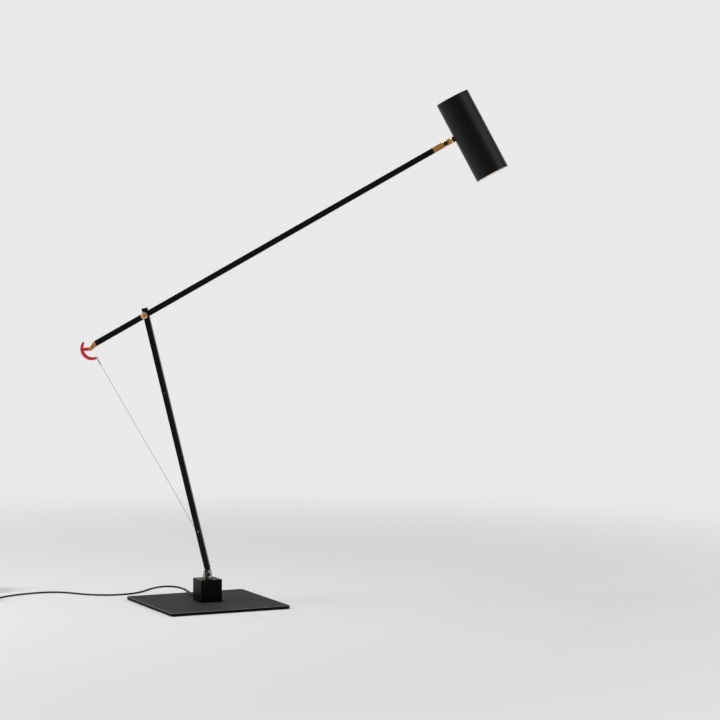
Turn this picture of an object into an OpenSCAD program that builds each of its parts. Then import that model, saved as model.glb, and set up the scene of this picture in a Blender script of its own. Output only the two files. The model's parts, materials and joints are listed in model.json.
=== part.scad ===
// Desk lamp: square base plate and block, leaning stem, lapped arm and a tubular spot shade.
// Millimetres. The origin is the middle of the underside, +Z is up and +X is the way the arm reaches.

/* [Base] */
// Side of the square base plate
plate_w = 224; // [180:1:260]
// Thickness of the base plate
plate_t = 5; // [4:0.5:8]
// Corner radius of the base plate
plate_r = 3.5; // [1:0.5:12]
// Thickness of the felt under the plate
felt_t = 1; // [0.5:0.5:3]
// How far the felt stays inside the plate's edge
felt_inset = 3; // [1:0.5:8]
// How far the plate and block are turned from the arm's direction
base_turn = 32.4; // [-90:0.1:90]
// Side of the block on the plate
block_w = 40; // [38:1:60]
// Height of the block
block_h = 40; // [36:1:60]
// Radius of the block's upright edges
block_r = 1; // [0.5:0.1:3]
// Side of the square cavity in the block
cavity_w = 28; // [24:1:30]
// Thickness of the block's roof
roof_t = 6; // [4:0.5:8]
// Shank diameter of the four block screws
block_screw_d = 3; // [2.5:0.5:4]
// How deep the block screws go into the block
block_screw_grip = 12; // [8:1:20]

/* [Swivel and foot] */
// Diameter of the hollow spindle
spindle_d = 10; // [8:0.5:11]
// Diameter of the lead's way through the spindle
spindle_bore = 5; // [3:0.5:6]
// Outside diameter of the swivel bush
bush_d = 14; // [12.5:0.5:16]
// Diameter of the bush's flange
bush_flange_d = 18; // [17.5:0.5:24]
// Thickness of the bush's flange
bush_flange_t = 1; // [0.8:0.1:2]
// Thickness of the spring washer under the roof
swivel_washer_t = 1.5; // [1:0.1:2]
// Thickness of the nut on the spindle
swivel_nut_t = 5; // [4:0.5:8]
// Diameter of the foot fork's round base
fork_d = 17; // [16:0.5:22]
// Radius of the round tops of the foot fork's cheeks
cheek_r = 6; // [5:0.5:7.5]
// How far the middles of the cheeks' round tops stand above the pivot
cheek_rise = 4; // [2:0.5:6]
// How far the foot's pivot stands off the swivel's axis
foot_off = 2.6; // [0:0.1:3]
// Thickness of each cheek of the foot fork under its screw
cheek_t = 3; // [3:0.5:5]
// Thickness of the fork's floor under the tongue
fork_floor = 2.2; // [1.5:0.1:4]

/* [Stem] */
// Outside width of the square tube of stem and arm
tube_w = 10; // [9.5:0.5:14]
// Wall of the square tube
tube_wall = 1; // [0.8:0.1:1.5]
// Corner radius of the square tube
tube_r = 1; // [0.4:0.1:1.5]
// Distance from the foot pivot to the arm pivot
stem_len = 473.5; // [380:0.5:560]
// How far the stem leans back from upright
stem_lean = 13.6; // [0:0.1:30]
// How far the stem stands above the arm pivot
stem_top = 12.8; // [8:0.1:20]
// Thickness of the stem's foot tongue
tongue_t = 5; // [4:0.5:6]
// Width of the stem's foot tongue
tongue_w = 9; // [7:0.5:9.5]
// Space between the fork's cheeks and the end of the stem tube
foot_gap = 0.5; // [0.3:0.1:4]
// Diameter of the pivot screws at the foot and the head
pivot_d = 4; // [3:0.5:5]

/* [Arm] */
// Length of the arm's tube on the head side of its pivot
arm_head = 590.5; // [450:0.5:680]
// Length of the arm's tube on the tail side of its pivot
arm_tail = 102; // [70:1:140]
// How far the arm rises from level
arm_pitch = 29.6; // [0:0.1:60]
// Distance from the end of the arm's tube to the head's pivot screw
head_out = 24.5; // [22:0.5:60]
// Diameter of the thumb screw's shank
bolt_d = 4; // [3:0.5:5]
// Diameter of the thumb screw's knob
knob_d = 12; // [10:0.5:18]
// Thickness of the thumb screw's knob
knob_t = 4.5; // [3:0.5:8]
// Thickness of the friction washer between stem and arm
friction_t = 1; // [0.5:0.1:2]
// Diameter of the friction washer
friction_d = 10; // [8:0.5:14]
// Diameter of the brass washers under the knob and the nut
washer_d = 9.6; // [8:0.2:14]
// Thickness of the brass washers
washer_t = 0.8; // [0.5:0.1:1.5]
// Side of the head fork's square bar
bar_w = 10; // [8:0.5:10]
// How far the head fork's cheeks stand back from the faces of its bar
cheek_back = 0.6; // [0.2:0.1:0.8]
// Length of the head fork's cheeks before the head's pivot screw
cheek_run = 5.5; // [5:0.5:8]
// Thickness of the head tongue
head_tongue_t = 4; // [3:0.5:5]

/* [Tail] */
// Length of the tail fork beyond the arm's tube
tail_len = 17.6; // [14:0.2:24]
// How far the tail fork points below the arm's line
tail_drop = 16; // [0:1:25]
// Distance of the hook's pin from the end of the arm's tube
pin_reach = 14; // [11:0.5:20]
// Diameter of the hook's pin
pin_d = 2.5; // [2:0.1:3]
// Thickness of the red hook
hook_t = 3; // [2:0.5:4]
// Diameter of the tension wire
wire_d = 0.8; // [0.6:0.1:1.2]
// Distance of the wire's guide pin from the foot pivot
guide_s = 78.5; // [60:0.5:140]
// Diameter of the wire's guide pin
guide_d = 4; // [3:0.5:4.5]
// Outside diameter of the balance spring
spring_d = 6; // [4:0.5:6.5]
// Length of the balance spring
spring_len = 180; // [120:5:220]

/* [Head] */
// Outside diameter of the shade
shade_d = 60; // [54:1:80]
// Length of the shade
shade_len = 150; // [130:1:190]
// Wall of the shade
shade_wall = 1.2; // [1:0.1:2]
// How far the shade's axis leans from upright
shade_tilt = 28.2; // [0:0.1:60]
// Distance of the shade's mounting from its top
shade_hang = 65; // [40:1:75]
// Distance from the head's pivot screw to the shade's wall
shade_gap = 17; // [15:0.5:30]
// Diameter of the collar on the shade
collar_d = 10; // [8:0.5:14]
// Thickness of the collar at its middle
collar_t = 3.5; // [2:0.5:6]
// Diameter of the head tongue's stud
stud_d = 6; // [5:0.5:7]
// Depth of the recess above the shade's cap
cap_recess = 3; // [2.5:0.5:8]
// Thickness of the shade's cap
cap_t = 3; // [2:0.5:5]
// Diameter of the push button in the cap
button_d = 12; // [8:0.5:16]
// How far the push button stands above the cap
button_rise = 2.5; // [2:0.5:4]
// Travel of the push button
button_travel = 1.5; // [1:0.1:2]
// Depth of the lens inside the shade's mouth
mouth_depth = 36; // [25:1:50]
// Wall of the white liner
liner_wall = 0.8; // [0.6:0.1:1.2]
// Thickness of the lens
lens_t = 2; // [1.5:0.5:4]
// Diameter of the lamp board
board_d = 50; // [40:1:52]

/* [Cord] */
// Diameter of the cord
cord_d = 3; // [2.5:0.1:3.2]
// Height of the cord's way out above the plate
gland_rise = 5; // [4.5:0.5:8]
// How far the gland stands left of the block's middle
gland_x = 9; // [4:0.5:10]
// Length of the strain relief
relief_len = 20; // [20:1:40]
// Length of the plug-in supply's housing
supply_len = 52; // [45:1:70]
// Width of the plug-in supply's housing
supply_w = 34; // [30:1:50]
// Height of the plug-in supply's housing
supply_h = 27; // [24:1:40]

/* [Hidden] */
$fn = 48;

// Clearances
seat_gap = 0.05;
run_gap = 0.03;
tongue_gap = 0.3;
slot_gap = 0.05;

// Heights of the base
plate_top = felt_t + plate_t;
block_top = plate_top + block_h;
roof_under = block_top - roof_t;
flange_top = block_top + bush_flange_t;
tongue_r = tongue_w / 2;
foot_z = flange_top + fork_floor + tongue_gap + tongue_r;
screw_at = (block_w + cavity_w) / 4;
screw_head_d = 2 * block_screw_d;
screw_head_t = block_screw_d / 2;
washer_floor = roof_under - swivel_washer_t;
nut_floor = washer_floor - swivel_nut_t;
spindle_end = nut_floor - 3;
cheek_out = tongue_t / 2 + slot_gap + cheek_t;

// Stem, arm and head places
tube_in = tube_w - 2 * tube_wall;
plug_w = tube_in - 2 * seat_gap;
plug_len = 18;
tube_start = norm([foot_off, cheek_rise]) + cheek_r + foot_gap;
cap_head = 1.2;
sleeve_d = bolt_d + 3;
arm_y = -(tube_w + friction_t);
stem_dir = [-sin(stem_lean), 0, cos(stem_lean)];
arm_dir = [cos(arm_pitch), 0, sin(arm_pitch)];
head_reach = arm_head + head_out;
head_cheek = bar_w / 2 - cheek_back;
tail_dir = -[cos(arm_pitch + tail_drop), 0, sin(arm_pitch + tail_drop)];
foot_at = [foot_off, 0, foot_z];
pivot_at = foot_at + stem_len * stem_dir + [0, arm_y, 0];
head_at = pivot_at + head_reach * arm_dir;
pin_at = pivot_at - arm_tail * arm_dir + pin_reach * tail_dir;
lead_d = 1.4;
lead_off = tube_in / 2 - lead_d / 2 - 0.2;

// Red hook: a crescent of round spots about a bow centre near its pin, each with its radius
hook_slot = hook_t + 2 * slot_gap + 0.1;
hook_eye = [[0, 0], 3.2];
hook_bow = 18.5;
hook_centre = [2.5, 1];
hook_from = 150;
hook_sweep = 147;
hook_steps = 8;
hook_end_r = 2.2;
hook_swell = 0.9;
hook_spots = [
    for (i = [0:hook_steps])
        let (a = hook_from + hook_sweep * i / hook_steps)
        [hook_centre + hook_bow * [cos(a), sin(a)], hook_end_r + hook_swell * sin(180 * i / hook_steps)]
];
hook_toe = hook_spots[hook_steps];
hook_back = hook_spots[2];
toe_hole = wire_d + 1.6;

// Tension wire
wrap_r = guide_d / 2 + wire_d / 2 + seat_gap;
loop_r = hook_t + 0.2;
toe_at = pin_at + [hook_toe[0][0], 0, hook_toe[0][1]];
guide_at = foot_at + guide_s * stem_dir;
wire_run = norm([guide_at[0] - toe_at[0], guide_at[2] - toe_at[2]]);
wire_turn = atan2(guide_at[2] - toe_at[2], guide_at[0] - toe_at[0]) - asin(wrap_r / wire_run);
wire_dir = [cos(wire_turn), 0, sin(wire_turn)];
wrap_from = atan2(-cos(wire_turn), sin(wire_turn)) - stem_lean;
touch_at = guide_at + wrap_r * [sin(wire_turn), 0, -cos(wire_turn)];
loop_bow = loop_r - sqrt(loop_r * loop_r - hook_t * hook_t / 4);
loop_seat = (toe_hole - wire_d) / 2 - loop_bow;
loop_at = toe_at + (loop_r + loop_seat) * wire_dir;
wire_top = loop_at + loop_r * wire_dir;
crimp_len = 7;
slot_w = 3 * wire_d;
spring_from = guide_s + 70;
spring_to = spring_from + spring_len;
anchor_d = 2;

// Shade, measured down from its top
shade_in = shade_d / 2 - shade_wall;
cap_r = shade_in - seat_gap;
shade_up = shade_hang;
shade_bottom = shade_hang - shade_len;
cap_top = shade_up - cap_recess;
cap_under = cap_top - cap_t;
lens_under = shade_bottom + mouth_depth;
lens_top = lens_under + lens_t;
liner_r = shade_in - seat_gap;
liner_in = liner_r - liner_wall;
lip_r = liner_in - 1.2;
liner_lip = 3;
liner_top = lens_top + liner_lip;
board_t = 1.6;
board_under = liner_top + 1.5;
sink_t = 5;
sink_under = board_under + board_t;
sink_top = sink_under + sink_t;
fin_r = 15;
fin_count = 5;
fin_t = 1.5;
fin_pitch = 3.2;
post_at = 21;
post_d = 6;
post_top = cap_under;
switch_d = 18;
switch_h = 14;
collar_face = shade_gap - collar_t;

// Cord route: its start, hand-chosen points on plate and table, and the coil where it ends
table_z = cord_d / 2;
gland_flange = 2;
relief_out = block_w / 2 + gland_flange + relief_len;
relief_end = turned([-gland_x, relief_out, plate_top + gland_rise]);
out_dir = turned([0, 1, 0]);
route_by_hand = [
    [-40, 48, 9.3], [-43, 60, 8], [-46, 73, 7.6], [-50, 86, 7.7], [-54, 99, 7.8], [-57, 111, 6.3],
    [-60, 124, 3.6], [-64, 138, 1.8], [-69, 153, 1.5], [-76, 169, 1.5], [-86, 184, 1.5],
    [-98, 195, 1.5], [-112, 198, 1.5], [-124, 191, 1.5], [-132, 177, 1.5], [-138, 159, 1.5],
    [-142, 140, 1.5], [-147, 121, 1.5], [-156, 103, 1.5], [-170, 88, 1.5], [-188, 78, 1.5],
    [-208, 74, 1.5], [-228, 75, 1.5], [-248, 81, 1.5], [-268, 90, 1.5], [-288, 96, 1.5],
    [-308, 95, 1.5], [-326, 87, 1.5], [-342, 75, 1.5], [-356, 61, 1.5], [-369, 44, 1.5],
    [-379, 27, 1.5], [-385, 10, 1.5]
];
coil_at = [-410, -14];
coil_mid_r = 18;
coil_pitch = 4;
coil_step = 3.5;
coil_layers = 4;
coil_turns = 2;
coil_out_r = coil_mid_r + coil_turns * coil_pitch / 2;
coil_rings = 24;
coil_start = [coil_at[0] + coil_out_r, coil_at[1] + cord_d, table_z];
ramp_len = 75;
ramp_steps = 12;
layer_rings = coil_rings * coil_turns;
climb_rings = coil_rings / 2;
cycle_rings = layer_rings + climb_rings;
loop_rings = coil_layers * layer_rings + (coil_layers - 1) * climb_rings;
coil_top_z = table_z + (coil_layers - 1) * coil_step;
supply_at = [coil_at[0] - coil_out_r, coil_at[1] + ramp_len + cord_d];
supply_relief_len = 12;

// Turns a point of the plate's own frame into the lamp's frame
function turned(p) = [
    p[0] * cos(base_turn) - p[1] * sin(base_turn),
    p[0] * sin(base_turn) + p[1] * cos(base_turn),
    p[2]
];

// Smooth step from 0 to 1
function ease(t) = t <= 0 ? 0 : t >= 1 ? 1 : t * t * (3 - 2 * t);

// Point between b and c on a smooth curve through a, b, c and d
function between(a, b, c, d, t) =
    0.5 * (2 * b + (c - a) * t + (2 * a - 5 * b + 4 * c - d) * t * t + (3 * b - a - 3 * c + d) * t * t * t);

// A smooth path through points, with extra rings between them
function smooth_path(p, extra) = [
    for (i = [0:len(p) - 2], k = [0:extra])
        between(p[max(i - 1, 0)], p[i], p[i + 1], p[min(i + 2, len(p) - 1)], k / (extra + 1)),
    p[len(p) - 1]
];

function unit(v) = v / norm(v);

// Direction of a path at one of its points
function heading(p, i) = unit(p[min(i + 1, len(p) - 1)] - p[max(i - 1, 0)]);

// One ring of points round a path, square to its heading
function ring(p, i, r, sides) =
    let (t = heading(p, i), side = unit(cross([0, 0, 1], t)), up = cross(t, side))
    [for (k = [0:sides - 1]) p[i] + r * (cos(360 * k / sides) * side + sin(360 * k / sides) * up)];

// Length of a path
function path_len(p, i = 0) = i >= len(p) - 1 ? 0 : norm(p[i + 1] - p[i]) + path_len(p, i + 1);

// Radius of the coil's centreline at one of its rings: in, hold and climb, out, hold and climb
function coil_r(i) =
    let (layer = floor(i / cycle_rings), step = min(i - layer * cycle_rings, layer_rings) / coil_rings)
    layer % 2 == 0 ? coil_out_r - coil_pitch * step
                   : coil_out_r - coil_pitch * (coil_turns - step);

function coil_z(i) =
    let (layer = floor(i / cycle_rings), past = i - layer * cycle_rings - layer_rings)
    table_z + coil_step * (layer + ease(past / climb_rings));

function coil_point(i) = [
    coil_at[0] + coil_r(i) * cos(-360 * i / coil_rings),
    coil_at[1] + coil_r(i) * sin(-360 * i / coil_rings),
    coil_z(i)
];

// The way down from the coil's top to the table, and on to the supply
function ramp_point(k) = [
    coil_at[0] - coil_out_r,
    coil_at[1] + ramp_len * k / ramp_steps,
    coil_top_z + (table_z - coil_top_z) * ease(k / ramp_steps)
];

cord_path = smooth_path(
    concat([relief_end, relief_end + 2 * cord_d * out_dir], route_by_hand,
        [coil_start + [0, 3 * cord_d, 0], coil_start]), 1);
coil_path = concat(
    [coil_start],
    [for (i = [0:loop_rings]) coil_point(i)],
    [for (k = [1:ramp_steps]) ramp_point(k)],
    [[supply_at[0], supply_at[1], table_z]]);

// Least distance between turns of the coil, less its diameter
coil_gap = min([
    for (i = [0:3:len(coil_path) - 1])
        min([
            for (j = [0:len(coil_path) - 1])
                abs(i - j) < coil_rings / 3 ? 100 : norm(coil_path[i] - coil_path[j]) - cord_d
        ])
]);
echo(coil_gap = coil_gap);
echo(cord_length = path_len(cord_path) + path_len(coil_path) + relief_len);
echo(cord_rings = len(cord_path), coil_rings = len(coil_path));

// Frames: the turned base, the stem, the arm, the tail, the hook, the head and the shade
module at_base() {
    rotate([0, 0, base_turn]) children();
}

module at_stem() {
    translate(foot_at) rotate([0, -stem_lean, 0]) children();
}

module at_arm() {
    translate(pivot_at) rotate([0, -arm_pitch, 0]) children();
}

module at_tail() {
    at_arm() translate([-arm_tail, 0, 0]) rotate([0, -tail_drop, 0]) children();
}

module at_head() {
    translate(head_at) rotate([0, -shade_tilt, 0]) children();
}

module at_shade() {
    at_head() translate([shade_gap + shade_d / 2, 0, 0]) children();
}

module at_block_screws() {
    for (x = [-1, 1], y = [-1, 1]) translate([x * screw_at, y * screw_at, 0]) children();
}

module at_posts() {
    for (a = [0, 120, 240]) rotate([0, 0, a]) translate([post_at, 0, 0]) children();
}

// Shared shapes
module rounded(w, h, r) {
    square([w - 2 * r, h], center = true);
    square([w, h - 2 * r], center = true);
    for (x = [-1, 1], y = [-1, 1]) translate([x * (w / 2 - r), y * (h / 2 - r)]) circle(r);
}

// A round bar along Y, from y0 to y1
module across(d, y0, y1) {
    translate([0, y1, 0]) rotate([90, 0, 0]) cylinder(d = d, h = y1 - y0);
}

// A hexagon nut along Y with a bore, from y0 to y1
module nut_across(w, bore, y0, y1) {
    translate([0, y1, 0]) rotate([90, 0, 0]) difference() {
        cylinder(d = w / cos(30), h = y1 - y0, $fn = 6);
        translate([0, 0, -1]) cylinder(d = bore, h = y1 - y0 + 2);
    }
}

// A flat ring along Y
module ring_across(d, bore, y0, y1) {
    difference() {
        across(d, y0, y1);
        across(bore, y0 - 1, y1 + 1);
    }
}

// A low dome on the -Y side of y, d across and h high
module dome_across(d, y, h) {
    ball = (d * d / 4 + h * h) / (2 * h);
    intersection() {
        translate([0, y + ball - h, 0]) sphere(ball, $fn = 96);
        across(d, y - h, y);
    }
}

// A square tube along Z
module square_tube(z0, z1) {
    translate([0, 0, z0]) linear_extrude(z1 - z0) difference() {
        rounded(tube_w, tube_w, tube_r);
        square(tube_in, center = true);
    }
}

// A straight round rod between two points
module rod(a, b, d) {
    v = b - a;
    translate(a) rotate([0, acos(v[2] / norm(v)), atan2(v[1], v[0])]) cylinder(d = d, h = norm(v));
}

// One limb of the flat hook between two round spots, each a list of a point and its radius
module limb(from, to) {
    turn = atan2(to[0][1] - from[0][1], to[0][0] - from[0][0]);
    reach = norm(to[0] - from[0]);
    lean = asin((from[1] - to[1]) / reach);
    side = [sin(lean), cos(lean)];
    under = [sin(lean), -cos(lean)];
    inside = 0.99;
    translate(from[0]) rotate(turn) polygon([
        inside * from[1] * side,
        [reach, 0] + inside * to[1] * side,
        [reach, 0] + inside * to[1] * under,
        inside * from[1] * under
    ]);
}

// A round tube along a path, closed at both ends
module swept(p, d, sides) {
    count = len(p);
    polyhedron(
        points = [for (i = [0:count - 1]) each ring(p, i, d / 2, sides)],
        faces = concat(
            [[for (k = [0:sides - 1]) k]],
            [
                for (i = [0:count - 2], k = [0:sides - 1])
                    let (n = (k + 1) % sides, a = i * sides, b = a + sides)
                    each [[a + k, b + k, b + n], [a + k, b + n, a + n]]
            ],
            [[for (k = [sides - 1:-1:0]) (count - 1) * sides + k]]
        )
    );
}

// Base
module felt_pad() {
    color("#2a2a2c") at_base() linear_extrude(felt_t)
        rounded(plate_w - 2 * felt_inset, plate_w - 2 * felt_inset, plate_r);
}

module base_plate() {
    color("#5b5752") at_base() difference() {
        translate([0, 0, felt_t]) linear_extrude(plate_t) rounded(plate_w, plate_w, plate_r);
        at_block_screws() {
            translate([0, 0, felt_t - 1]) cylinder(d = block_screw_d + 0.4, h = plate_t + 2);
            translate([0, 0, felt_t]) cylinder(
                d1 = screw_head_d + 2 * seat_gap, d2 = block_screw_d + 2 * seat_gap, h = screw_head_t);
        }
    }
}

module base_block() {
    color("#1b1b1c") at_base() difference() {
        translate([0, 0, plate_top]) linear_extrude(block_h) rounded(block_w, block_w, block_r);
        translate([-cavity_w / 2, -cavity_w / 2, plate_top - 1])
            cube([cavity_w, cavity_w, block_h - roof_t + 1]);
        translate([0, 0, roof_under - 1]) cylinder(d = bush_d + 2 * seat_gap, h = roof_t + 2);
        at_block_screws() translate([0, 0, plate_top - 1])
            cylinder(d = block_screw_d + 2 * seat_gap, h = block_screw_grip + 2);
        translate([-gland_x, 0, plate_top + gland_rise])
            across(cord_d + 3 + 2 * seat_gap, 0, block_w);
    }
}

module block_screws() {
    color("#3a3a3c") at_base() at_block_screws() difference() {
        union() {
            translate([0, 0, felt_t])
                cylinder(d1 = screw_head_d, d2 = block_screw_d, h = screw_head_t);
            translate([0, 0, felt_t + screw_head_t / 2])
                cylinder(d = block_screw_d, h = plate_t + block_screw_grip - screw_head_t / 2);
        }
        translate([0, 0, felt_t]) cylinder(d = block_screw_d / 1.6, h = screw_head_t, $fn = 6);
    }
}

module swivel_bush() {
    color("#a8803c") difference() {
        union() {
            translate([0, 0, block_top]) cylinder(d = bush_flange_d, h = bush_flange_t);
            translate([0, 0, roof_under]) cylinder(d = bush_d, h = roof_t + bush_flange_t);
        }
        translate([0, 0, roof_under - 1])
            cylinder(d = spindle_d + 2 * run_gap, h = roof_t + bush_flange_t + 2);
    }
}

terminal_w = 20;
terminal_d = 8;
terminal_h = 9;

module terminal_block() {
    color("ivory") at_base() difference() {
        translate([-terminal_w / 2, -cavity_w / 2 + 1, plate_top])
            cube([terminal_w, terminal_d, terminal_h]);
        for (x = [-1, 1])
            translate([x * terminal_w / 4, -cavity_w / 2 + 1 + terminal_d / 2, plate_top + 3])
                cylinder(d = 3 + 2 * seat_gap, h = terminal_h);
    }
}

module terminal_screws() {
    color("#c9a24a") at_base() for (x = [-1, 1])
        translate([x * terminal_w / 4, -cavity_w / 2 + 1 + terminal_d / 2, plate_top + 3])
            difference() {
                cylinder(d = 3, h = terminal_h - 3.6);
                translate([-2, -0.3, terminal_h - 4.4]) cube([4, 0.6, 2]);
            }
}

module spindle_lead() {
    lead_from = [0, 0, plate_top + terminal_h / 2];
    color("#7d2f26") at_base() {
        translate(lead_from) cylinder(d = 2.4, h = flange_top + fork_floor - 0.6 - lead_from[2]);
        translate(lead_from) sphere(d = 2.4);
        rod([0, -cavity_w / 2 + 1 + terminal_d, lead_from[2]], lead_from, 2.4);
    }
}

module cord_gland() {
    color("#b9b6ae") at_base() translate([-gland_x, 0, plate_top + gland_rise]) difference() {
        union() {
            across(cord_d + 5.6, block_w / 2, block_w / 2 + gland_flange);
            across(cord_d + 3, cavity_w / 2 - 4, block_w / 2 + gland_flange);
        }
        across(cord_d + 2 * seat_gap, 0, block_w);
    }
}

module gland_nut() {
    color("#b9b6ae") at_base() translate([-gland_x, 0, plate_top + gland_rise])
        nut_across(cord_d + 5, cord_d + 3 + 2 * seat_gap, cavity_w / 2 - 3, cavity_w / 2);
}

module cord_relief() {
    inner = terminal_d + 1 - cavity_w / 2;
    color("#151515") at_base() translate([-gland_x, 0, plate_top + gland_rise]) {
        across(cord_d, inner, block_w / 2 + gland_flange + 1);
        translate([0, block_w / 2 + gland_flange, 0]) rotate([-90, 0, 0])
            cylinder(d1 = cord_d + 3, d2 = cord_d + 0.6, h = relief_len);
    }
}

// Swivel and foot
foot_head_d = pivot_d + 3;
foot_head_t = 1.2;
nut_w = pivot_d + 3;
nut_t = 3;
foot_seat_gap = 0.2;
foot_seat_d = nut_w / cos(30) + 2 * foot_seat_gap;

// The cheeks' straight flanks rise from the fork's base to meet their round tops
cheek_mid = foot_z + cheek_rise - flange_top;
flank_base = norm([fork_d / 2, cheek_mid]);
flank_turn = atan2(cheek_mid, -fork_d / 2) - asin(cheek_r / flank_base);
flank_len = sqrt(flank_base * flank_base - cheek_r * cheek_r);
flank_top = [fork_d / 2 + flank_len * cos(flank_turn), flank_len * sin(flank_turn)];

module foot_fork() {
    color("#9b9a96") difference() {
        union() {
            translate([0, 0, spindle_end]) cylinder(d = spindle_d, h = flange_top - spindle_end + 1);
            translate([0, 0, flange_top]) cylinder(d = fork_d, h = fork_floor);
            intersection() {
                translate([0, 0, flange_top]) {
                    translate([0, fork_d / 2, 0]) rotate([90, 0, 0]) linear_extrude(fork_d)
                        polygon([[-fork_d / 2, 0], [fork_d / 2, 0], flank_top, [-flank_top[0], flank_top[1]]]);
                    translate([0, 0, cheek_mid]) across(2 * cheek_r, -fork_d / 2, fork_d / 2);
                }
                translate([0, 0, flange_top]) cylinder(d = fork_d, h = cheek_mid + cheek_r + 1);
            }
        }
        translate([-fork_d, -tongue_t / 2 - slot_gap, flange_top + fork_floor])
            cube([2 * fork_d, tongue_t + 2 * slot_gap, cheek_mid + cheek_r]);
        translate(foot_at) {
            across(pivot_d + 2 * run_gap, -fork_d, fork_d);
            across(foot_seat_d, -fork_d, -cheek_out);
            across(foot_seat_d, cheek_out, fork_d);
        }
        translate([0, 0, spindle_end - 1])
            cylinder(d = spindle_bore, h = flange_top + fork_floor + 2 - spindle_end);
    }
}

module swivel_washer() {
    color("#77767a") translate([0, 0, washer_floor]) difference() {
        cylinder(d = bush_d + 4, h = swivel_washer_t);
        translate([0, 0, -1]) cylinder(d = spindle_d + 2 * seat_gap, h = swivel_washer_t + 2);
    }
}

module swivel_nut() {
    color("#8d8b86") translate([0, 0, nut_floor]) difference() {
        cylinder(d = (spindle_d + 7) / cos(30), h = swivel_nut_t, $fn = 6);
        translate([0, 0, -1]) cylinder(d = spindle_d + 2 * run_gap, h = swivel_nut_t + 2);
    }
}

module foot_screw() {
    color("#1a1a1b") translate(foot_at) difference() {
        union() {
            across(pivot_d, -cheek_out - 0.5, cheek_out + nut_t);
            across(foot_head_d, -cheek_out - foot_head_t, -cheek_out);
            dome_across(foot_head_d, -cheek_out - foot_head_t, 1);
        }
        translate([-foot_head_d, -cheek_out - foot_head_t - 2, -0.4]) cube([2 * foot_head_d, 2.2, 0.8]);
    }
}

module foot_nut() {
    color("#1a1a1b") translate(foot_at)
        nut_across(nut_w, pivot_d + 2 * run_gap, cheek_out, cheek_out + nut_t);
}

// Stem
module stem_foot() {
    color("#161617") at_stem() difference() {
        union() {
            across(tongue_w, -tongue_t / 2, tongue_t / 2);
            translate([-tongue_w / 2, -tongue_t / 2, 0]) cube([tongue_w, tongue_t, tube_start]);
            translate([0, 0, tube_start]) linear_extrude(plug_len) square(plug_w, center = true);
        }
        across(pivot_d + 2 * run_gap, -tongue_t, tongue_t);
    }
}

module stem_tube() {
    color("#161617") at_stem() difference() {
        square_tube(tube_start, stem_len + stem_top - cap_head);
        translate([0, 0, stem_len]) across(bolt_d + 2 * seat_gap, -tube_w, tube_w);
        translate([0, 0, guide_s]) across(guide_d + 2 * seat_gap, -tube_w, tube_w);
        translate([0, 0, spring_to + 3]) across(anchor_d + 2 * seat_gap, -tube_w, tube_w);
        translate([-tube_w, -slot_w / 2, guide_s + 1.5]) cube([tube_w, slot_w, 10]);
    }
}

module stem_cap() {
    color("#161617") at_stem() {
        translate([0, 0, stem_len + stem_top - cap_head]) linear_extrude(cap_head)
            rounded(tube_w, tube_w, tube_r);
        translate([0, 0, stem_len + stem_top - cap_head - 5]) linear_extrude(5)
            square(plug_w, center = true);
    }
}

module stem_sleeve() {
    color("#8d8b86") at_stem() translate([0, 0, stem_len])
        ring_across(sleeve_d, bolt_d + 2 * seat_gap, -tube_in / 2, tube_in / 2);
}

module wire_guide() {
    color("#a8803c") at_stem() translate([0, 0, guide_s]) across(guide_d, -tube_w / 2, tube_w / 2);
}

module wire_tail() {
    color("#8f9092") at_stem() {
        translate([0, 0, guide_s]) rotate([90, 0, 0]) rotate([0, 0, wrap_from])
            rotate_extrude(angle = -wrap_from) translate([wrap_r, 0]) circle(d = wire_d);
        translate([wrap_r, 0, guide_s]) sphere(d = wire_d + 0.1);
        rod([wrap_r, 0, guide_s], [0, 0, spring_from], wire_d);
    }
}

module balance_spring() {
    color("#8f9092") at_stem() {
        difference() {
            translate([0, 0, spring_from]) cylinder(d = spring_d, h = spring_len);
            translate([0, 0, spring_from + 1]) cylinder(d = spring_d - 1.8, h = spring_len - 2);
        }
        translate([0, 0, spring_to - 0.5]) cylinder(d = 1, h = 3 - anchor_d / 2 + 0.5);
    }
}

module spring_anchor() {
    color("#8d8b86") at_stem() translate([0, 0, spring_to + 3])
        across(anchor_d, -tube_w / 2, tube_w / 2);
}

module stem_lead() {
    from = tube_start + plug_len + 1;
    color("#7d2f26") at_stem() translate([lead_off, lead_off, from])
        cylinder(d = lead_d, h = stem_len - sleeve_d - from);
}

module friction_washer() {
    color("#2a2a2c") at_stem() translate([0, 0, stem_len])
        ring_across(friction_d, bolt_d + 2 * seat_gap, arm_y + tube_w / 2, -tube_w / 2);
}

module bolt_washer() {
    color("#c9a24a") at_stem() translate([0, 0, stem_len])
        ring_across(washer_d, bolt_d + 2 * seat_gap, tube_w / 2, tube_w / 2 + washer_t);
}

bolt_nut_t = 3.2;

module bolt_nut() {
    color("#c9a24a") at_stem() translate([0, 0, stem_len]) nut_across(
        bolt_d + 3, bolt_d + 2 * run_gap, tube_w / 2 + washer_t, tube_w / 2 + washer_t + bolt_nut_t);
}

// Arm
module arm_tube() {
    color("#161617") at_arm() difference() {
        rotate([0, 90, 0]) square_tube(-arm_tail, arm_head);
        across(bolt_d + 2 * seat_gap, -tube_w, tube_w);
    }
}

module arm_sleeve() {
    color("#8d8b86") at_arm()
        ring_across(sleeve_d, bolt_d + 2 * seat_gap, -tube_in / 2, tube_in / 2);
}

module arm_lead() {
    color("#7d2f26") at_arm() translate([sleeve_d, lead_off, lead_off]) rotate([0, 90, 0])
        cylinder(d = lead_d, h = arm_head - plug_len - 2 * sleeve_d);
}

tail_tip = [[2.2 - tail_len, 0], 2.2];

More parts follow.
